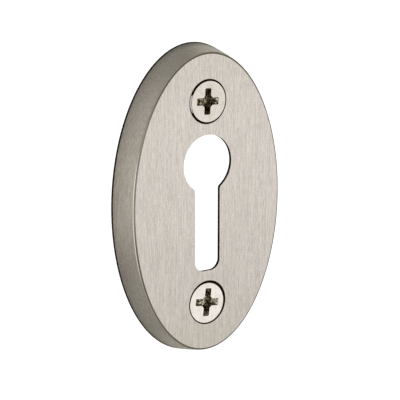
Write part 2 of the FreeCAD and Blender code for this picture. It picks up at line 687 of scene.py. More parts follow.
@dataclass(frozen=True)
class Nickel(Finish):
    """Plated metal whose colour runs from dark to light and whose roughness and relief vary.

    The contrast says which tones are dark and which light, uneven how far the roughness spreads
    about its mean, the relief how much of the bumps counts, and the rise how high they are.
    Shares say how strong each noise is in a tone.
    """

    light: Colour
    dark: Colour
    contrast: Limits
    roughness: float
    uneven: float
    relief: float
    rise: float

    def coloured(self, shading: Shading, tone: Signal) -> Signal:
        """The colour that a tone from 0 to 1 gives."""
        return shading.mixed(tone.ramp(*self.contrast), self.dark, self.light)

    def plated(self, shading: Shading, colour: Signal, rough: Signal, bumps: Signal,
               **settings: Number) -> None:
        """Ends the tree in the metal.

        Args:
            shading: the tree that gets the nodes.
            colour: the metal's colour.
            rough: signal from 0 to 1 that the roughness follows.
            bumps: signal from 0 to 1 that the relief follows.
            settings: other inputs by name, with a value that replaces the metal's own.
        """
        values = {
            "Base Color": colour,
            "Roughness": self.roughness + rough.spread(self.uneven),
            "Normal": shading.bump(bumps, self.relief, self.rise),
            "Metallic": 1.0,
        }
        shading.surface(shading.signal("ShaderNodeBsdfPrincipled", 0, {}, {**values, **settings}))


@dataclass(frozen=True)
class BrushedNickel(Nickel):
    """Satin nickel with an upright grain of nicks, hair lines, strokes and faint clouds.

    The colour is darker towards the foot and a little darker at both ends, both painted shade, and
    a thin near-black painted shadow runs along the rim.
    """

    light: Colour = (0.75, 0.695, 0.635)
    dark: Colour = (0.563, 0.521, 0.475)
    contrast: Limits = (0.335, 0.665)
    roughness: float = 0.34
    uneven: float = -0.35
    relief: float = 0.3
    rise: float = 0.003
    anisotropy: float = 0.5
    grain_shares: Shares = (0.36, 0.30, 0.32, 0.02)
    relief_shares: Shares = (0.5, 0.5)
    rosy: Colour = (1.004, 0.998, 0.999)
    green: Colour = (0.997, 1.001, 0.994)
    # Painted shade: darker towards the foot, and a little darker at both ends.
    painted_shade_low: Colour = (0.855, 0.853, 0.85)
    painted_shade_high: Colour = (1.0, 1.0, 1.0)
    end_shade_low: Colour = (0.975, 0.97, 0.925)
    end_shade_high: Colour = (0.965, 0.965, 0.955)
    # Painted shadow: colour of the thin dark line along the rim.
    rim: Colour = (0.02, 0.017, 0.013)
    nick: Lumps = Lumps((0.22, 0.25, 0.22), detail=0.0)
    hair: Lumps = Lumps((0.22, 0.25, 1.3), detail=0.0)
    stroke: Lumps = Lumps((0.23, 0.26, 6.0), detail=0.0)
    cloud: Lumps = Lumps((4.0, 3.0, 16.0))
    tinge: Lumps = Lumps((1.1, 1.1, 22.0))
    hues: Limits = (0.35, 0.65)
    # Heights of the painted shade towards the foot and at both ends, and depths of the painted rim
    # shadow.
    painted_shade: Limits = (-32.0, 14.0)
    end_shade: Limits = (-10.0, 10.0)
    ends: Limits = (16.0, 27.0)
    stain_and_rim_shadow: Limits = (-0.6, -0.48)
    rim_shadow_waver: float = 0.1

    def build(self, shading: Shading) -> None:
        """Hair lines, strokes and clouds set the colour, the roughness and the relief.

        Args:
            shading: the tree that gets the nodes.
        """
        place = shading.coordinates()
        _, y, z = shading.axes(place)
        nicks = shading.noise(place, self.nick)
        hairs = shading.noise(place, self.hair)
        strokes = shading.noise(place, self.stroke)
        clouds = shading.noise(place, self.cloud)
        grain = weighted((nicks, hairs, strokes, clouds), self.grain_shares)
        colour = self.coloured(shading, grain)
        tinge = shading.noise(place, self.tinge).ramp(*self.hues)
        colour = shading.product(colour, shading.mixed(tinge, self.rosy, self.green))
        # Painted shade: the colour darkens towards the foot.
        painted_shade = shading.mixed(z.ramp(*self.painted_shade), self.painted_shade_low, self.painted_shade_high)
        colour = shading.product(colour, painted_shade)
        # Painted shade: a little darker at both ends.
        end_shade = shading.mixed(z.ramp(*self.end_shade), self.end_shade_low, self.end_shade_high)
        colour = shading.mixed(z.size().ramp(*self.ends), colour, shading.product(colour, end_shade))
        # Painted shadow: a thin near-black, unmetallic line along the rim.
        painted_rim_shadow = (y + hairs.spread(self.rim_shadow_waver)).ramp(*self.stain_and_rim_shadow)
        colour = shading.mixed(painted_rim_shadow, colour, self.rim)
        bumps = weighted((hairs, strokes), self.relief_shares)
        self.plated(shading, colour, grain, bumps, Metallic=1.0 - painted_rim_shadow, IOR=1.1,
                    Anisotropic=self.anisotropy)


@dataclass(frozen=True)
class EdgeNickel(Nickel):
    """Rounded edge of the face: a painted dark line beside the face, and a painted highlight at mid
    height.
    """

    light: Colour = (0.98, 0.93, 0.86)
    dark: Colour = (0.78, 0.73, 0.665)
    contrast: Limits = (0.35, 0.65)
    roughness: float = 0.2
    uneven: float = 0.16
    relief: float = 0.2
    rise: float = 0.003
    # Painted shade above and below the painted highlight.
    edge_shade_low: Colour = (0.47, 0.435, 0.38)
    edge_shade_high: Colour = (0.38, 0.345, 0.285)
    # Painted dark reflection: colours of the line beside the face.
    line_low: Colour = (0.13, 0.112, 0.09)
    line: Colour = (0.23, 0.20, 0.165)
    line_high: Colour = (0.12, 0.105, 0.08)
    shares: Shares = (0.6, 0.4)
    rub: Lumps = Lumps((0.5, 0.3, 1.4), detail=3.0, roughness=0.6)
    speck: Lumps = Lumps((0.12, 0.12, 0.5))
    edge_shaded: Limits = (-10.0, 10.0)
    # Heights at which the painted highlight begins and ends.
    highlight_from: Limits = (-13.5, -8.0)
    highlight_to: Limits = (5.0, 13.0)
    line_facing: Limits = (0.56, 0.76)
    line_middle: Limits = (-8.0, 0.0)
    line_top: Limits = (14.0, 22.0)
    line_waver: float = 0.12
    height_waver: float = 4.0

    def build(self, shading: Shading) -> None:
        """The way that the edge looks sets its painted dark line, and the height its painted highlight
        and painted shade; small spots vary them.

        Args:
            shading: the tree that gets the nodes.
        """
        place = shading.coordinates()
        rubs = shading.noise(place, self.rub)
        specks = shading.noise(place, self.speck)
        colour = self.coloured(shading, weighted((rubs, specks), self.shares))
        height = shading.axes(place)[2] + rubs.spread(self.height_waver)
        # Painted shade above and below the middle.
        edge_shade = shading.mixed(height.ramp(*self.edge_shaded), self.edge_shade_low, self.edge_shade_high)
        # Painted highlight at mid height.
        edge_highlight = height.ramp(*self.highlight_from) * (1.0 - height.ramp(*self.highlight_to))
        colour = shading.mixed(edge_highlight, edge_shade, colour)
        forward = shading.facing((0.0, -1.0, 0.0))
        # Painted dark reflection: a line where the edge turns to the face.
        lined = (forward + rubs.spread(self.line_waver)).ramp(*self.line_facing)
        line = shading.mixed(height.ramp(*self.line_middle), self.line_low, self.line)
        line = shading.mixed(height.ramp(*self.line_top), line, self.line_high)
        colour = shading.mixed(lined, colour, line)
        self.plated(shading, colour, rubs, specks)


@dataclass(frozen=True)
class CastNickel(Nickel):
    """Plated but unbrushed metal inside the plate: duller, darker and faintly pebbled."""

    light: Colour = (0.50, 0.47, 0.43)
    dark: Colour = (0.38, 0.355, 0.32)
    contrast: Limits = (0.35, 0.65)
    roughness: float = 0.46
    uneven: float = 0.3
    relief: float = 0.5
    rise: float = 0.03
    shares: Shares = (0.7, 0.3)
    pebble: Lumps = Lumps((0.35, 0.35, 0.35), detail=3.0, roughness=0.6)
    stain_and_rim_shadow: Lumps = Lumps((4.0, 4.0, 5.0), detail=3.0, roughness=0.6)

    def build(self, shading: Shading) -> None:
        """Pebbles set the relief, and broad stains the colour and the roughness.

        Args:
            shading: the tree that gets the nodes.
        """
        place = shading.coordinates()
        pebbles = shading.noise(place, self.pebble)
        stains = shading.noise(place, self.stain_and_rim_shadow)
        colour = self.coloured(shading, weighted((stains, pebbles), self.shares))
        self.plated(shading, colour, stains, pebbles)


@dataclass(frozen=True)
class SeatBlack(Nickel):
    """Near-black painted shade on the cut metal in the countersinks, the screw holes and the keyhole.
    """

    # Near-black painted shade.
    light: Colour = (0.024, 0.015, 0.006)
    dark: Colour = (0.005, 0.003, 0.001)
    contrast: Limits = (0.35, 0.7)
    roughness: float = 0.7
    uneven: float = 0.2
    relief: float = 0.4
    rise: float = 0.01
    shade_lumps: Lumps = Lumps((0.5, 0.3, 0.5), detail=3.0, roughness=0.6)
    groove: Lumps = Lumps((3.0, 0.05, 3.0), detail=1.0)

    def build(self, shading: Shading) -> None:
        """Turning marks along the axis set the relief, and a mottle the painted shade's colour.

        Args:
            shading: the tree that gets the nodes.
        """
        place = shading.coordinates()
        shade_mottle = shading.noise(place, self.shade_lumps)
        turning = shading.noise(place, self.groove)
        # Mottled painted shade.
        colour = self.highlighted(shading, place, self.coloured(shading, shade_mottle))
        self.plated(shading, colour, shade_mottle, turning, Metallic=0.0, IOR=1.1)

    def highlighted(self, shading: Shading, place: Signal, colour: Signal) -> Signal:
        """The colour with its painted highlight; here there is none."""
        return colour


@dataclass(frozen=True)
class HeadBlack(SeatBlack):
    """The same painted shade under the screws' heads, with a painted highlight left on the upper head.
    """

    # Colour of the painted highlight.
    pale: Colour = (0.97, 0.94, 0.87)
    left: Limits = (-3.3, -3.0)
    front: Limits = (-5.35, -5.3)
    back: Limits = (-5.18, -5.12)
    height: float = 18.05
    reach_squared: Limits = (1.7, 3.2)

    def highlighted(self, shading: Shading, place: Signal, colour: Signal) -> Signal:
        """A pale painted highlight left of a limit, between a front and a back, and within reach of a
        height.

        Args:
            shading: the tree that gets the nodes.
            place: the coordinates.
            colour: the skin's colour.

        Returns:
            The colour with its painted highlight.
        """
        x, y, z = shading.axes(place)
        off = z - self.height
        # Painted highlight on the left of the upper head's side, where it faces the light.
        painted_highlight = (1.0 - x.ramp(*self.left)) * y.ramp(*self.front) * (1.0 - y.ramp(*self.back))
        painted_highlight = painted_highlight * (1.0 - (off * off).ramp(*self.reach_squared))
        return shading.mixed(painted_highlight, colour, self.pale)


@dataclass(frozen=True)
class ScrewNickel(Nickel):
    """Bright nickel plating of the screws, with a faint mottling of the blank under it."""

    contrast: Limits = (0.36, 0.6)
    roughness: float = 0.3
    uneven: float = 0.25
    relief: float = 0.3
    rise: float = 0.006
    shares: Shares = (0.6, 0.4)
    mottle: Lumps = Lumps((0.22, 0.22, 0.22), detail=3.0, roughness=0.6)
    spot: Lumps = Lumps((1.3, 1.3, 1.3))

    def build(self, shading: Shading) -> None:
        """Fine mottling and soft spots set the colour, the roughness and the relief.

        Args:
            shading: the tree that gets the nodes.
        """
        place = shading.coordinates()
        mottle = shading.noise(place, self.mottle)
        spots = shading.noise(place, self.spot)
        colour = self.coloured(shading, weighted((mottle, spots), self.shares))
        self.plated(shading, colour, mottle, mottle)


@dataclass(frozen=True)
class ThreadNickel(Nickel):
    """Thin plating of the shank and the thread, with painted shade in the thread's root."""

    light: Colour = (0.80, 0.75, 0.68)
    dark: Colour = (0.62, 0.575, 0.51)
    contrast: Limits = (0.36, 0.64)
    roughness: float = 0.34
    uneven: float = 0.3
    relief: float = 0.3
    rise: float = 0.01
    # Painted shade in the thread's root.
    root: Colour = (0.40, 0.36, 0.29)
    mottle: Lumps = Lumps((0.3, 0.5, 0.3), detail=3.0, roughness=0.6)
    root_radius: Limits = (1.5, 1.85)
    root_from: Limits = (0.6, 1.2)
    root_waver: float = 0.6
    seat: ScrewSeat = ScrewSeat()

    def build(self, shading: Shading) -> None:
        """The distance from the axis sets the painted shade; mottling varies the plating.

        Args:
            shading: the tree that gets the nodes.
        """
        place = shading.coordinates()
        mottle = shading.noise(place, self.mottle)
        colour = self.coloured(shading, mottle)
        far = shading.from_screw(place, self.seat.height) + mottle.spread(self.root_waver)
        past = shading.axes(place)[1].ramp(*self.root_from)
        # Painted shade in the thread's root, behind the mounting plane.
        colour = shading.mixed((1.0 - far.ramp(*self.root_radius)) * past, colour, self.root)
        self.plated(shading, colour, mottle, mottle)


@dataclass(frozen=True)
class RecessNickel(Nickel):
    """Inside of the cross recess: metal darkened by painted shade, with painted glints, most at the
    wings' ends.
    """

    # Painted shade: dark, with a lighter mottle.
    light: Colour = (0.60, 0.54, 0.40)
    dark: Colour = (0.09, 0.072, 0.04)
    contrast: Limits = (0.44, 0.68)
    roughness: float = 0.28
    uneven: float = 0.3
    relief: float = 0.5
    rise: float = 0.02
    # Colour of the painted glints.
    spots: Colour = (0.96, 0.92, 0.83)
    shade_lumps: Lumps = Lumps((0.45, 0.5, 0.45), detail=3.0, roughness=0.65)
    mark: Lumps = Lumps((0.2, 0.12, 0.2), roughness=0.6)
    patch: Lumps = Lumps((0.3, 0.4, 0.3), detail=1.0)
    wing_end: Limits = (1.7, 2.1)
    seat: ScrewSeat = ScrewSeat()
    glint_threshold: float = 0.6
    glint_step: float = 0.08
    glint_ends: float = 0.1

    def build(self, shading: Shading) -> None:
        """Mottled painted shade sets the colour and the roughness, painted glints lie in patches, tool
        marks the relief.

        Args:
            shading: the tree that gets the nodes.
        """
        place = shading.coordinates()
        # Mottled painted shade.
        shade_mottle = shading.noise(place, self.shade_lumps)
        marks = shading.noise(place, self.mark)
        end = shading.from_screw(place, self.seat.height).ramp(*self.wing_end)
        # Painted glints in patches, more of them towards the wings' ends.
        clear = shading.noise(place, self.patch) + end * self.glint_ends
        painted_highlight = clear.ramp(self.glint_threshold, self.glint_threshold + self.glint_step)
        colour = shading.mixed(painted_highlight, self.coloured(shading, shade_mottle), self.spots)
        self.plated(shading, colour, shade_mottle, marks)


@dataclass(frozen=True)
class CardGrey(Finish):
    """Grey of the backing card, in the tones that the plate's wall mirrors.

    Its tones are painted shadow and light. The card is palest on both sides of the plate's middle, a
    little darker close to the rim and black in a narrow gap round it, a painted contact shadow. It is
    paler again above the plate's right half and below the plate, apart from its far left.
    """

    half_width: float
    half_height: float
    black: Colour = (0.0, 0.0, 0.0)
    white: Colour = (1.0, 0.99, 0.92)
    low: float = 0.43
    high: float = 0.70
    sides: Limits = (10.0, 22.0)
    sides_from: Limits = (-16.0, -2.0)
    sides_to: Limits = (7.0, 19.0)
    foot: Limits = (-22.0, -12.0)
    near: Limits = (1.1, 2.2)
    gap: Limits = (1.01, 1.07)
    above: Limits = (21.0, 26.0)
    above_right: Limits = (-2.0, 6.0)
    below: Limits = (-26.0, -21.0)
    below_right: Limits = (-12.0, -5.0)
    sides_fade: float = 0.38
    foot_lift: float = 0.08
    near_tone: float = 0.84
    above_left_lift: float = -0.05
    above_right_lift: float = 0.8
    below_lift: float = 0.4

    def build(self, shading: Shading) -> None:
        """The place beside, above or below the plate sets the tone.

        Args:
            shading: the tree that gets the nodes.
        """
        x, _, z = shading.axes(shading.coordinates())
        far = (x * x) / self.half_width ** 2 + (z * z) / self.half_height ** 2
        lit = x.size().ramp(*self.sides) * z.ramp(*self.sides_from)
        lit = lit * (1.0 - z.ramp(*self.sides_to) * self.sides_fade)
        tone = self.low + lit * (self.high - self.low)
        tone = tone + (1.0 - z.ramp(*self.foot)) * self.foot_lift
        near = self.near_tone + far.ramp(*self.near) * (1 - self.near_tone)
        above = x.ramp(*self.above_right) * self.above_right_lift + self.above_left_lift
        above = above * z.ramp(*self.above)
        below = (1.0 - z.ramp(*self.below)) * x.ramp(*self.below_right) * self.below_lift
        # Painted shadow near the rim and in the gap round it, painted light above and below the plate.
        tone = tone * near * far.ramp(*self.gap) * (1.0 + above + below)
        colour = shading.mixed(tone, self.black, self.white)
        shading.surface(shading.signal("ShaderNodeBsdfDiffuse", 0, {}, {"Color": colour}))


@dataclass(frozen=True)
class FloorWhite(Finish):
    """Pale floor that glows to the camera, and that metal looks through to the white world."""

    paint: tuple[float, ...] = (0.8, 0.8, 0.8, 1.0)
    light: tuple[float, ...] = (1.0, 1.0, 1.0, 1.0)
    glow: float = 0.4

    def build(self, shading: Shading) -> None:
        """The kind of ray chooses between the bare floor, the glowing floor and open air.

        Args:
            shading: the tree that gets the nodes.
        """
        rays = shading.node("ShaderNodeLightPath", {}, {})
        seen, mirrored, bent = (Signal(shading, rays.outputs[kind]) for kind in (
            "Is Camera Ray", "Is Glossy Ray", "Is Transmission Ray"))
        diffuse = shading.signal("ShaderNodeBsdfDiffuse", 0, {}, {"Color": self.paint})
        glow = shading.signal("ShaderNodeEmission", 0, {}, {
            "Color": self.light, "Strength": self.glow})
        both = shading.signal("ShaderNodeAddShader", 0, {}, {0: diffuse, 1: glow})
        open_air = shading.signal("ShaderNodeBsdfTransparent", 0, {}, {})
        solid = shading.signal("ShaderNodeMixShader", 0, {}, {0: seen, 1: diffuse, 2: both})
        shading.surface(shading.signal("ShaderNodeMixShader", 0, {}, {
            0: mirrored.most(bent), 1: solid, 2: open_air}))


# Plate


class PlateFinish(IntEnum):
    """Places of the plate's finishes in its list of materials."""

    BRUSHED = 0
    EDGE = 1
    CAST = 2
    # Near-black painted shade in the countersinks, the screw holes and the keyhole.
    SEAT = 3


@dataclass
class EscutcheonPlate:
    """Oval plate, hollow behind its face, with a keyhole, two countersinks and their bosses."""

    seat: ScrewSeat = ScrewSeat()
    face_height: float = 54.0
    face_width: float = 31.75
    flare: float = 1.1
    face_radius: float = 0.4
    rim_radius: float = 0.12
    wall_crown: float = 0.045
    face_thickness: float = 0.7
    wall_thickness: float = 1.0
    cavity_radius: float = 0.5
    key_round: float = 10.4
    key_height: float = 7.1
    slot_width: float = 5.4
    slot_end: float = -12.4
    slot_corner: float = 1.9
    neck_radius: float = 0.7
    key_edge: float = 0.07
    seat_edge: float = 0.05
    hole_chamfer: float = 0.15
    boss_wall: float = 1.0
    boss_edge: float = 0.12
    boss_root: float = 0.3
    spacing: float = 1.2
    around: int = 480

    @property
    def front(self) -> float:
        """Depth of the face."""
        return -self.seat.plate_depth

    @property
    def ceiling(self) -> float:
        """Depth of the face's inside."""
        return self.face_thickness - self.seat.plate_depth

    def outline(self) -> Path:
        """The face's ellipse, before its edge is rounded."""
        return Path.oval(self.face_width / 2, self.face_height / 2, self.around)

    def rim(self, count: int) -> Path:
        """The outer ellipse in the mounting plane."""
        return Path.oval(self.face_width / 2 + self.flare, self.face_height / 2 + self.flare, count)

    def slope(self, path: Path) -> tuple[Array, Array]:
        """How the wall spreads along the path's normals.

        The CAD wall widens both half axes by the same length, so along the unit normal n it
        widens by that length times (cos t, sin t) . n.

        Args:
            path: the face's ellipse.

        Returns:
            The share of a half axis' growth along each normal, and the wall's slope there.
        """
        radial = path.points / np.array([self.face_width / 2, self.face_height / 2])
        share = np.einsum("ij,ij->i", radial, path.normals)
        return share, share * self.flare / self.seat.plate_depth

    def shell(self, skin: Skin) -> tuple[Array, Array]:
        """Adds the rounded edge, the wall, the rim and the inside of the wall.

        A ball of the edge's radius that touches the face and the wall has its centre at depth r
        and offset g r - r sqrt(1 + g g), where g is the wall's slope. The rim's edge is the same
        with its centre at r before the rim.

        Args:
            skin: the skin that gets the patches.

        Returns:
            The outlines of the face and of the cavity's ceiling.
        """
        path = self.outline()
        share, g = self.slope(path)
        steep = np.sqrt(1 + g * g)
        wall_angle = -np.arctan(g)
        r = self.face_radius
        face_offset = (g - steep) * r
        face_edge = Span.arc((face_offset, self.front + r), r, -math.pi / 2, wall_angle, rows=13)
        r = self.rim_radius
        rim_offset = g * (self.seat.plate_depth - r) - steep * r
        rim_edge = Span.arc((rim_offset, -r), r, wall_angle, math.pi / 2, rows=9)
        wall = Span.line((face_edge.offset[-1], face_edge.depth[-1]),
                         (rim_edge.offset[0], rim_edge.depth[0]), rows=13, side=Side.RIGHT)
        wall = wall.crowned(self.wall_crown)
        lip = (g * self.seat.plate_depth - share * self.wall_thickness, np.zeros_like(g))
        rim = Span.line((rim_edge.offset[-1], np.zeros_like(g)), lip, rows=3, side=Side.RIGHT)
        r = self.cavity_radius
        corner_offset = g * (self.face_thickness + r) - share * self.wall_thickness - steep * r
        corner = Span.arc((corner_offset, self.ceiling + r), r, wall_angle, -math.pi / 2, rows=9,
                          hollow=True)
        inside = Span.line(lip, (corner.offset[0], corner.depth[0]), rows=7, side=Side.RIGHT)
        skin.sweep(path, [face_edge], PlateFinish.EDGE)
        skin.sweep(path, [wall, rim_edge], PlateFinish.BRUSHED)
        skin.sweep(path, [rim, inside, corner], PlateFinish.CAST)
        return path.moved(face_offset), path.moved(corner_offset)

    def keyhole(self) -> Path:
        """The keyhole's outline: arc, neck arc, side, corner arc, bottom and back up.

        Returns:
            The outline with normals that point out of the hole, into the metal.
        """
        bow, side = self.key_round / 2, self.slot_width / 2
        neck, corner = self.neck_radius, self.slot_corner
        neck_x = side + neck
        drop = math.sqrt((bow + neck) ** 2 - neck_x ** 2)
        turn = math.atan2(drop, neck_x)
        neck_z, low = self.key_height - drop, self.slot_end + corner
        corner_x = side - corner
        bottom = low - corner
        runs = [
            self.arc((0, self.key_height), bow, -turn, math.pi + turn, count=96),
            self.arc((-neck_x, neck_z), neck, turn, 0, count=12, sign=-1.0),
            self.run((-side, neck_z), (-side, low), (-1.0, 0.0), count=40),
            self.arc((-corner_x, low), corner, math.pi, 1.5 * math.pi, count=16),
            self.run((-corner_x, bottom), (corner_x, bottom), (0.0, -1.0), count=8),
            self.arc((corner_x, low), corner, 1.5 * math.pi, 2 * math.pi, count=16),
            self.run((side, low), (side, neck_z), (1.0, 0.0), count=40),
            self.arc((neck_x, neck_z), neck, math.pi, math.pi - turn, count=12, sign=-1.0),
        ]
        points, normals = zip(*runs)
        return Path(np.concatenate(points), np.concatenate(normals))

    @staticmethod
    def arc(centre: Spot, radius: float, start: float, end: float, count: int,
            sign: float = 1.0) -> tuple[Array, Array]:
        """Arc centre + r (cos a, sin a) without its last point, and its normals sign (cos a, sin a).

        Args:
            centre: x and z of the centre.
            radius: the radius.
            start: first angle in radians.
            end: last angle in radians.
            count: how many points it gets.
            sign: -1 where the normals point to the centre.

        Returns:
            Points and normals.
        """
        angle = start + np.arange(count) / count * (end - start)
        unit = np.stack([np.cos(angle), np.sin(angle)], axis=-1)
        return np.array(centre) + radius * unit, sign * unit

    @staticmethod
    def run(start: Spot, end: Spot, normal: Spot, count: int) -> tuple[Array, Array]:
        """Straight run start + s (end - start) without its last point, and its normals.

        Args:
            start: x and z of its first point.
            end: x and z of its last point.
            normal: its unit normal.
            count: how many points it gets.

        Returns:
            Points and normals.
        """
        s = (np.arange(count) / count)[:, None]
        points = np.array(start) + s * (np.array(end) - np.array(start))
        return points, np.tile(np.array(normal, dtype=float), (count, 1))

    def key_wall(self, skin: Skin, path: Path) -> tuple[Array, Array]:
        """Adds the keyhole's wall with its softened edges.

        Args:
            skin: the skin that gets the patches.
            path: the keyhole's outline.

        Returns:
            Its outlines in the face and in the ceiling.
        """
        r, back_r = self.key_edge, self.key_edge / 2
        edge = Span.arc((r, self.front + r), r, -math.pi / 2, -math.pi, rows=6)
        wall = Span.line((0.0, self.front + r), (0.0, self.ceiling - back_r), rows=5, side=Side.LEFT)
        back = Span.arc((back_r, self.ceiling - back_r), back_r, -math.pi, -1.5 * math.pi, rows=4)
        skin.sweep(path, [edge], PlateFinish.BRUSHED)
        skin.sweep(path, [wall, back], PlateFinish.SEAT)
        return path.moved(r), path.moved(back_r)

    def screw_hole(self, skin: Skin, height: float) -> tuple[Array, Array]:
        """Adds a countersink, its clearance hole and the boss behind it.

        Args:
            skin: the skin that gets the patches.
            height: z of the screw's axis.

        Returns:
            The circles where it meets the face and the ceiling.
        """
        path = Path.circle(0, height, 128)
        half = math.radians(self.seat.angle / 2)
        wide, hole = self.seat.radius(0), self.seat.hole
        r = self.seat_edge
        mouth = wide + r * math.tan((math.pi / 2 - half) / 2)
        edge = Span.arc((mouth, self.front + r), r, -math.pi / 2, half - math.pi, rows=5)
        corners = [(edge.offset[-1], edge.depth[-1]),
                   (hole, self.front + (wide - hole) / self.seat.slope),
                   (hole, -self.hole_chamfer), (hole + self.hole_chamfer, 0.0)]
        cut = [Span.line(start, end, rows, Side.LEFT)
               for start, end, rows in zip(corners, corners[1:], (7, 5, 2))]
        boss, r = self.seat.radius(self.face_thickness) + self.boss_wall, self.boss_edge
        end = Span.line(corners[-1], (boss - r, 0.0), rows=3, side=Side.LEFT)
        end_edge = Span.arc((boss - r, -r), r, math.pi / 2, 0.0, rows=5)
        root = self.boss_root
        flank = Span.line((boss, -r), (boss, self.ceiling + root), rows=5, side=Side.LEFT)
        foot = Span.arc((boss + root, self.ceiling + root), root, math.pi, 1.5 * math.pi, rows=6,
                        hollow=True)
        skin.sweep(path, [edge], PlateFinish.BRUSHED)
        skin.sweep(path, cut, PlateFinish.SEAT)
        skin.sweep(path, [end, end_edge, flank, foot], PlateFinish.CAST)
        return path.moved(mouth), path.moved(boss + root)

    def build(self) -> bpy.types.Object:
        """Makes the plate and dresses it.

        Returns:
            The plate's object.
        """
        skin = Skin()
        face, ceiling = self.shell(skin)
        edges = [self.key_wall(skin, self.keyhole())]
        edges += [self.screw_hole(skin, z) for z in (self.seat.height, -self.seat.height)]
        fronts, backs = zip(*edges)
        skin.fill(face, fronts, self.front, Looks.FRONT, PlateFinish.BRUSHED, self.spacing)
        skin.fill(ceiling, backs, self.ceiling, Looks.BACK, PlateFinish.CAST, self.spacing)
        finishes = [BrushedNickel("brushed_nickel"), EdgeNickel("edge_nickel"),
                    CastNickel("cast_nickel"), SeatBlack("seat_black")]
        return skin.piece("plate", [finish.material() for finish in finishes])


# Screws


class ScrewFinish(IntEnum):
    """Places of a screw's finishes in its list of materials."""

    BRIGHT = 0
    RECESS = 1
    # Near-black painted shade under the heads.
    SEATED = 2
    THREAD = 3


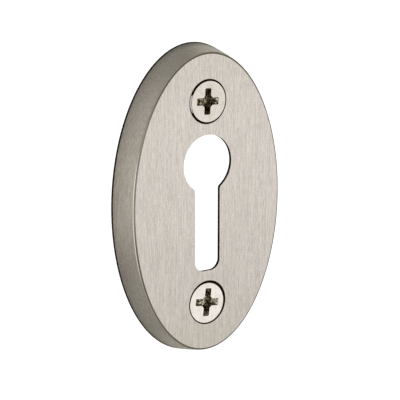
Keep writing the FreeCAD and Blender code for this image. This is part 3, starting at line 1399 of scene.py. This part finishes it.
@dataclass
class WoodScrew:
    """Flat-head wood screw with a cross recess, a plain shank, a thread and a sharp point.

    The drift is how far the head sits off its hole's axis along x and z. The thread's run-in and
    its ridge's reach and flank are given in pitches, the wing's corner cut as a share of half the
    wing, and the pit's hub as a share of the pit's outline.
    """

    name: str
    node: str
    height: float
    turn: float
    drift: Spot
    materials: Sequence[bpy.types.Material]
    seat: ScrewSeat = ScrewSeat()
    length: float = 19.0
    head: float = 7.35
    head_edge: float = 0.1
    shank: float = 3.6
    thread_root: float = 3.0
    thread_length: float = 12.7
    pitch: float = 1.693
    run_in: float = 0.8
    ridge_reach: float = 0.21
    ridge_flank: float = 0.17
    tip_length: float = 4.4
    tip: float = 0.4
    tip_root: float = 0.12
    tip_ridge: float = 0.3
    span: float = 4.7
    wing: float = 1.3
    corner_cut: float = 0.2
    web: float = 0.4
    web_reach: float = 0.12
    web_soft: float = 0.05
    recess_depth: float = 2.1
    wing_slope: float = 26.5
    flank_slope: float = 3.0
    pit_depth: float = 0.5
    pit_hub: float = 0.04
    parts: tuple[int, ...] = (5, 2, 8, 3, 6)
    recess_rows: int = 13
    recess_crowding: float = 1.5
    pit_rows: int = 8
    top_rows: int = 4
    edge_rows: int = 6
    side_rows: int = 4
    cone_rows: int = 6
    shank_rows: int = 5
    thread_rows: int = 300

    def cross(self, depth: Array) -> Array:
        """Outlines of the cross at some depths, each point kept on its own corner or side.

        One eighth runs from the middle of a wing's end over its corner, along the wing's side
        and over the web to the web's middle. Each of its sides is divided into its number of
        parts. The other half of the quarter mirrors it, and four quarters make the cross.

        Args:
            depth: depths below the head's top.

        Returns:
            depths x points x 2 array of x and z.
        """
        span = self.span / 2 - depth * math.tan(math.radians(self.wing_slope))
        side = self.wing / 2 - depth * math.tan(math.radians(self.flank_slope))
        near, cut = side + self.web, side * self.corner_cut
        middle = (side + near) / 2
        corners = np.stack([np.stack(corner, axis=-1) for corner in (
            (span, side * 0), (span, side - cut), (span - cut, side),
            (near + self.web_reach, side), (near - self.web_soft, side + self.web_soft),
            (middle, middle))], axis=1)
        places = np.concatenate([k + np.arange(n) / n for k, n in enumerate(self.parts)])
        low = places.astype(int)
        share = (places - low)[:, None]
        eighth = corners[:, low] * (1 - share) + corners[:, low + 1] * share
        mirrored = eighth[:, :0:-1, ::-1]
        x, z = np.moveaxis(np.concatenate([eighth, corners[:, -1:], mirrored], axis=1), -1, 0)
        turns = [np.stack(turned, axis=-1) for turned in ((x, z), (-z, x), (-x, -z), (z, -x))]
        return np.concatenate(turns, axis=1)

    @staticmethod
    def rings(radius: Array, depth: Array, angle: Array) -> Array:
        """Rings of a turned surface: (r cos a, y, r sin a).

        Args:
            radius: radius r of each ring, or of each of its points.
            depth: depth y of each ring.
            angle: the angles a of the columns.

        Returns:
            rings x columns x 3 array of points.
        """
        shape = (len(radius), len(angle))
        r = np.broadcast_to(radius if radius.ndim == 2 else radius[:, None], shape)
        y = np.broadcast_to(depth[:, None], shape)
        return np.stack([r * np.cos(angle), y, r * np.sin(angle)], axis=-1)

    def tube(self, radii: Limits, depths: Limits, rows: int, angle: Array) -> Array:
        """Rings of a straight tube or cone between two radii and two depths."""
        return self.rings(np.linspace(*radii, rows), np.linspace(*depths, rows), angle)

    def placed(self, points: Array) -> Array:
        """Points turned by the screw's own turn, sunk to its seat and lifted to its height.

        Args:
            points: points about the y axis, with the head's top at depth 0.

        Returns:
            The points where the screw stands.
        """
        a = math.radians(self.turn)
        x, y, z = np.moveaxis(points, -1, 0)
        turned_x = x * math.cos(a) + z * math.sin(a)
        turned_z = z * math.cos(a) - x * math.sin(a)
        sunk = y + self.seat.sink - self.seat.plate_depth
        return np.stack([turned_x, sunk, turned_z + self.height], axis=-1)

    def surface(self, skin: Skin, points: Array, finish: ScrewFinish) -> None:
        """Adds a grid whose normals come from its own slopes."""
        points = self.placed(points)
        skin.grid(points, grid_normals(points), finish)

    def recess(self, skin: Skin) -> None:
        """Adds the recess: wings that slope in, with closer rows at their lip, and a pointed pit.

        Args:
            skin: the skin that gets the patches.
        """
        depth = self.recess_depth * np.linspace(0, 1, self.recess_rows) ** self.recess_crowding
        outline = self.cross(depth)
        wall = np.insert(outline, 1, depth[:, None], axis=-1)
        self.surface(skin, wall[::-1], ScrewFinish.RECESS)
        inner = wall[-1] * np.linspace(1, self.pit_hub, self.pit_rows)[:, None, None]
        radius = np.hypot(inner[..., 0], inner[..., 2])
        pit = np.clip(1 - radius / (self.wing / 2), 0, 1) * self.pit_depth
        inner[..., 1] = self.recess_depth + pit
        self.surface(skin, inner[::-1], ScrewFinish.RECESS)
        bottom = self.recess_depth + self.pit_depth
        self.close(skin, inner[-1], bottom, Looks.FRONT, ScrewFinish.RECESS)

    def close(self, skin: Skin, ring: Array, depth: float, looks: Looks,
              finish: ScrewFinish) -> None:
        """Closes a ring in a point on the axis."""
        tip = self.placed(np.array([0.0, depth, 0.0]))
        skin.fan(self.placed(ring), tip, np.array([0.0, looks.value, 0.0]), finish)

    def body(self, skin: Skin) -> None:
        """Adds the head's flat top, its edge and cone, the shank, the thread and the point.

        Its rings have a column at the angle of each point of the cross, so that both meet.

        Args:
            skin: the skin that gets the patches.
        """
        outline = self.cross(np.zeros(1))[0]
        angle = np.arctan2(outline[:, 1], outline[:, 0])
        r, e, shank = self.head / 2, self.head_edge, self.shank / 2
        drift = np.array([self.drift[0], 0.0, self.drift[1]])
        lip = np.insert(outline, 1, 0, axis=-1)
        rim = self.rings(np.array([r - e]), np.zeros(1), angle)[0] + drift
        s = np.linspace(0, 1, self.top_rows)[:, None, None]
        self.surface(skin, lip * (1 - s) + rim * s, ScrewFinish.BRIGHT)
        bend = np.linspace(0, math.pi / 2, self.edge_rows)
        edge = self.rings(r - e + e * np.sin(bend), e - e * np.cos(bend), angle)
        self.surface(skin, edge + drift, ScrewFinish.BRIGHT)
        land = (self.seat.sharp_head / 2 - r) / self.seat.slope
        side = self.tube((r, r), (e, land), self.side_rows, angle)
        back = np.linspace(1, 0, self.side_rows)[:, None, None]
        self.surface(skin, side + drift * back, ScrewFinish.SEATED)
        neck = land + (r - shank) / self.seat.slope
        cone = self.tube((r, shank), (land, neck), self.cone_rows, angle)
        self.surface(skin, cone, ScrewFinish.SEATED)
        start = self.length - self.thread_length
        plain = self.tube((shank, shank), (neck, start), self.shank_rows, angle)
        self.surface(skin, plain, ScrewFinish.THREAD)
        self.threaded(skin, angle, start)

    def threaded(self, skin: Skin, angle: Array, start: float) -> None:
        """Adds the thread: a ridge that climbs one pitch a turn on a root that runs to a point.

        The radius at angle a and depth y is root(y) + ridge(u), where u is the share of a pitch
        by which y is past the helix y = -pitch a / 2 pi. The ridge is a 60 degree triangle with
        a narrow flat crest. It grows from nothing over the run-in, and sinks towards the point.

        Args:
            skin: the skin that gets the patches.
            angle: the angles of the columns.
            start: depth at which the thread begins.
        """
        depth = np.linspace(start, self.length, self.thread_rows)
        full, point, shank = self.seat.thread / 2, self.tip / 2, self.shank / 2
        crest = np.minimum(full, point + (self.length - depth) * (full - point) / self.tip_length)
        begin = np.clip((depth - start) / (self.run_in * self.pitch), 0, 1)
        shrink = self.tip_ridge + (1 - self.tip_ridge) * crest / full
        root = np.maximum(crest - (full - self.thread_root / 2) * shrink, self.tip_root)
        root = shank + (root - shank) * np.clip(begin * 2, 0, 1)
        u = (depth[:, None] / self.pitch + angle / (2 * math.pi)) % 1
        ridge = np.clip((self.ridge_reach - np.abs(u - 0.5)) / self.ridge_flank, 0, 1)
        radius = root[:, None] + ((crest - root) * begin)[:, None] * ridge
        radius[0], radius[-1] = shank, point
        rings = self.rings(radius, depth, angle)
        self.surface(skin, rings, ScrewFinish.THREAD)
        self.close(skin, rings[-1], self.length, Looks.BACK, ScrewFinish.THREAD)

    def build(self) -> bpy.types.Object:
        """Makes the screw and dresses it.

        Returns:
            The screw's object.
        """
        skin = Skin()
        self.recess(skin)
        self.body(skin)
        return skin.piece(self.name, self.materials)


# Studio


@dataclass
class Studio:
    """Camera, white surroundings, floor and backing card."""

    camera_place: Triple = (-230.961, -318.549, 93.046)
    camera_aim: Triple = (-1.691, -5.5, 0.771)
    camera_up: Triple = (0.135612, 0.189020, 0.972564)
    camera_range: Limits = (10.0, 20000.0)
    lens: float = 203.49
    sensor: float = 36.0
    floor_height: float = -100.0
    floor_radius: float = 1500.0
    card_reach: float = 140.0
    card_overlap: float = 0.17

    def camera(self) -> None:
        """Camera at the photograph's viewing angle."""
        data = bpy.data.cameras.new("camera")
        data.lens = self.lens
        data.sensor_width = self.sensor
        data.clip_start, data.clip_end = (limit * MM for limit in self.camera_range)
        made = bpy.data.objects.new("camera", data)
        place, aim = Vector(self.camera_place), Vector(self.camera_aim)
        back = (place - aim).normalized()
        right = Vector(self.camera_up).cross(back).normalized()
        turn = Matrix((right, back.cross(right), back)).transposed().to_4x4()
        made.matrix_world = Matrix.Translation(place * MM) @ turn
        bpy.context.scene.collection.objects.link(made)
        bpy.context.scene.camera = made

    def world(self) -> None:
        """White surroundings at a strength of 1, which light the object and show behind it."""
        made = bpy.data.worlds.new("surroundings")
        made.use_nodes = True
        bpy.context.scene.world = made
        shading = Shading(made.node_tree)
        background = shading.signal("ShaderNodeBackground", 0, {}, {
            "Color": (1, 1, 1, 1), "Strength": 1.0})
        shading.node("ShaderNodeOutputWorld", {}, {"Surface": background})

    def card(self) -> None:
        """Backing card in the mounting plane, cut out round the rim, which only reflections show."""
        skin = Skin()
        path = EscutcheonPlate().rim(240)
        shape = Span.line((-self.card_overlap, 0.0), (self.card_reach, 0.0), rows=12, side=Side.LEFT)
        skin.sweep(path, [shape], 0)
        made = skin.piece("backing_card", [CardGrey("card", *path.points.max(axis=0)).material()])
        made.visible_camera = False

    def floor(self) -> None:
        """Pale floor that keeps the shadow."""
        skin = Skin()
        flat = Path.circle(0, 0, 96).moved(self.floor_radius)
        ring = np.insert(flat, 2, self.floor_height, axis=-1)
        skin.fan(ring, np.array([0.0, 0.0, self.floor_height]), np.array([0.0, 0.0, 1.0]), 0)
        made = skin.piece("floor", [FloorWhite("floor").material()])

    def build(self) -> None:
        """Sets up the studio."""
        bpy.context.scene.view_settings.view_transform = "Standard"
        self.camera()
        self.world()
        self.floor()
        self.card()


def report(piece: bpy.types.Object) -> None:
    """Logs a piece's name and how many points and faces it has."""
    mesh = piece.data
    log.info("%s: %d points, %d faces", piece.name, len(mesh.vertices), len(mesh.polygons))


def main() -> None:
    """Builds the studio, the plate and the screws."""
    logging.basicConfig(level=logging.INFO, format="%(message)s")
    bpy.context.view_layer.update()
    Studio().build()
    plate = EscutcheonPlate().build()
    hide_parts("escutcheon_plate")
    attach(plate, "root")
    report(plate)
    hidden = [HeadBlack("under_head").material(), ThreadNickel("thread_nickel").material()]
    # Painted shade and painted light: one plating, darker on the upper screw and brighter on the
    # lower.
    duller = ScrewNickel("plating_above", light=(0.79, 0.732, 0.662), dark=(0.64, 0.588, 0.522))
    # Fewer painted glints in the upper recess than in the lower one.
    above = [duller.material(), RecessNickel("recess_above", glint_threshold=0.63).material(), *hidden]
    brighter = ScrewNickel("plating_below", light=(0.91, 0.852, 0.79), dark=(0.75, 0.70, 0.638))
    below = [brighter.material(), RecessNickel("recess_below", glint_threshold=0.56).material(), *hidden]
    height = ScrewSeat().height
    upper = WoodScrew("screw_above", "upper_screw", height=height, turn=3.0,
                      drift=(0.225, -0.04), materials=above)
    lower = WoodScrew("screw_below", "lower_screw", height=-height, turn=7.0,
                      drift=(-0.05, -0.14), materials=below, span=5.1)
    for screw in (upper, lower):
        made = screw.build()
        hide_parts(screw.node)
        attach(made, "root")
        report(made)


if __name__ == "__main__":
    main()
